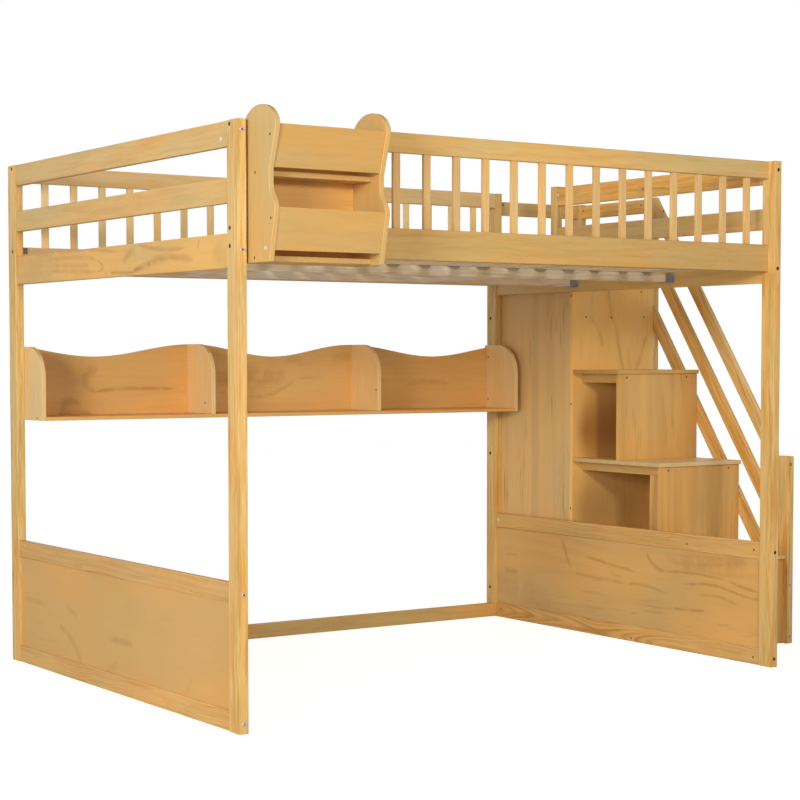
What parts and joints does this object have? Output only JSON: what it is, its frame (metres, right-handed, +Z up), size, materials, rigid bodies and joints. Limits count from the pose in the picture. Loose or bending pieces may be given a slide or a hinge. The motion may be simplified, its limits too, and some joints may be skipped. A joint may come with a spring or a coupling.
{
  "type": "loft bed with wardrobe",
  "caption": "Full-size pine loft bed with balustered guards, a wave-backed hanging shelf, a bookcase, box stairs with open cubbies and a pivot-door wardrobe under the landing.",
  "frame": {"origin": "centre of the bounding box's footprint, on the floor", "axes": "+X along the bed from the plain end to the stair end, +Y from the bookcase side to the hanging-shelf side, +Z up"},
  "size_m": [2.408, 1.68, 1.662],
  "materials": {
    "pine_post": "clear satin lacquer on honey pine, grain upright",
    "pine_rail": "clear satin lacquer on honey pine, grain along the rail",
    "pine_board": "clear satin lacquer on honey pine boards",
    "panel_ply": "satin lacquer on rotary-cut plywood",
    "slat_wood": "bare sawn slats",
    "beam_wood": "bare planed softwood"
  },
  "bodies": {
    "bed": {"post_front_left": "pine_post", "post_back_left": "pine_post", "post_front_right": "pine_post", "post_back_right": "pine_post", "post_entry": "pine_post", "stair_post_foot": "pine_post", "stair_post_corner": "pine_post", "stair_post_back": "pine_post", "clothes_rod": "pine_post", "left_end_top_rail": "pine_rail", "left_end_mid_rail": "pine_rail", "right_end_top_rail": "pine_rail", "right_end_mid_rail": "pine_rail", "front_guard": "pine_rail", "back_guard": "pine_rail", "back_stretcher": "pine_rail", "handrail_low": "pine_rail", "handrail_middle": "pine_rail", "handrail_high": "pine_rail", "landing_rail_side": "pine_rail", "landing_rail_back": "pine_rail", "left_end_board": "pine_board", "right_end_board": "pine_board", "front_side_board": "pine_board", "back_side_board": "pine_board", "wave_shelf_back": "pine_board", "wave_shelf_bottom": "pine_board", "wave_shelf_end_left": "pine_board", "wave_shelf_end_right": "pine_board", "wave_shelf_divider_left": "pine_board", "wave_shelf_divider_right": "pine_board", "bookcase_side_left": "pine_board", "bookcase_side_right": "pine_board", "bookcase_shelf_lower": "pine_board", "bookcase_shelf_upper": "pine_board", "bookcase_front_lower": "pine_board", "bookcase_front_upper": "pine_board", "tread_1": "pine_board", "tread_2": "pine_board", "tread_3": "pine_board", "cubby_rail_2": "pine_board", "cubby_rail_3": "pine_board", "landing_board": "pine_board", "left_lower_panel": "panel_ply", "right_lower_panel": "panel_ply", "bookcase_back": "panel_ply", "riser_1": "panel_ply", "riser_2": "panel_ply", "riser_3": "panel_ply", "stair_side_1": "panel_ply", "stair_side_2": "panel_ply", "stair_side_3": "panel_ply", "wardrobe_floor": "panel_ply", "wardrobe_side": "panel_ply", "wardrobe_front": "panel_ply", "wardrobe_back": "panel_ply", "slat_roll": "slat_wood", "support_beam_front": "beam_wood", "support_beam_back": "beam_wood"},
    "door": {"wardrobe_door": "pine_board"}
  },
  "joints": [
    {"name": "wardrobe_door_pivot", "type": "hinge", "parent": "bed", "child": "door", "pos_m": [1.1965, 0.7735, 0.661], "axis": [0, 0, 1], "range_deg": [0, 95]}
  ]
}
